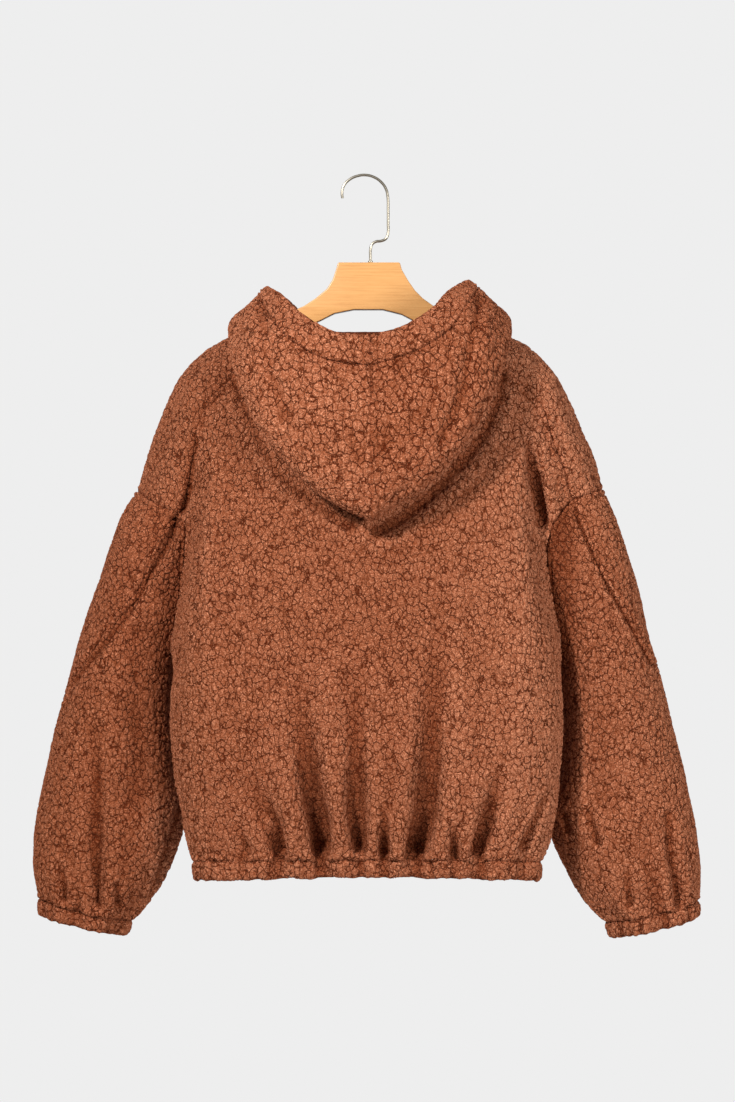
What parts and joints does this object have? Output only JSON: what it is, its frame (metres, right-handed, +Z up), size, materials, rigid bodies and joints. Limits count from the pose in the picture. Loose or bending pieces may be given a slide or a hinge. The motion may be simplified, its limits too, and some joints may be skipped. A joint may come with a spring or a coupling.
{
  "type": "hooded sherpa jacket on a hanger",
  "caption": "Cropped hooded sherpa jacket with drop shoulders, gathered hem and cuffs and a front zip, on a flat wooden hanger.",
  "frame": {"origin": "top of the inside of the hook's crook, where a rail carries it", "axes": "+Z up, -Y towards the jacket's back (the side with the fallen hood), +Y towards its zipped front, +X to the right when its back is seen"},
  "size_m": [0.7782, 0.2293, 0.8869],
  "materials": {
    "sherpa": "deep curly pile, rust brown",
    "zip_tape": "woven tape",
    "zip_metal": "plain",
    "hanger_wood": "light, satin lacquer",
    "hook_steel": "polished wire"
  },
  "bodies": {
    "root": {"back": "sherpa", "hem_back": "sherpa", "front_left": "sherpa", "front_right": "sherpa", "hem_front_left": "sherpa", "hem_front_right": "sherpa", "sleeve_left_back": "sherpa", "sleeve_left_front": "sherpa", "sleeve_right_back": "sherpa", "sleeve_right_front": "sherpa", "cuff_left_back": "sherpa", "cuff_left_front": "sherpa", "cuff_right_back": "sherpa", "cuff_right_front": "sherpa", "hood_left": "sherpa", "hood_right": "sherpa", "hood_casing_left": "sherpa", "hood_casing_right": "sherpa", "zip_tape_left": "zip_tape", "zip_tape_right": "zip_tape", "zip_chain": "zip_metal", "zip_slider": "zip_metal", "hanger_wood": "hanger_wood", "hanger_hook": "hook_steel", "hanger_collar": "hook_steel"}
  },
  "joints": []
}
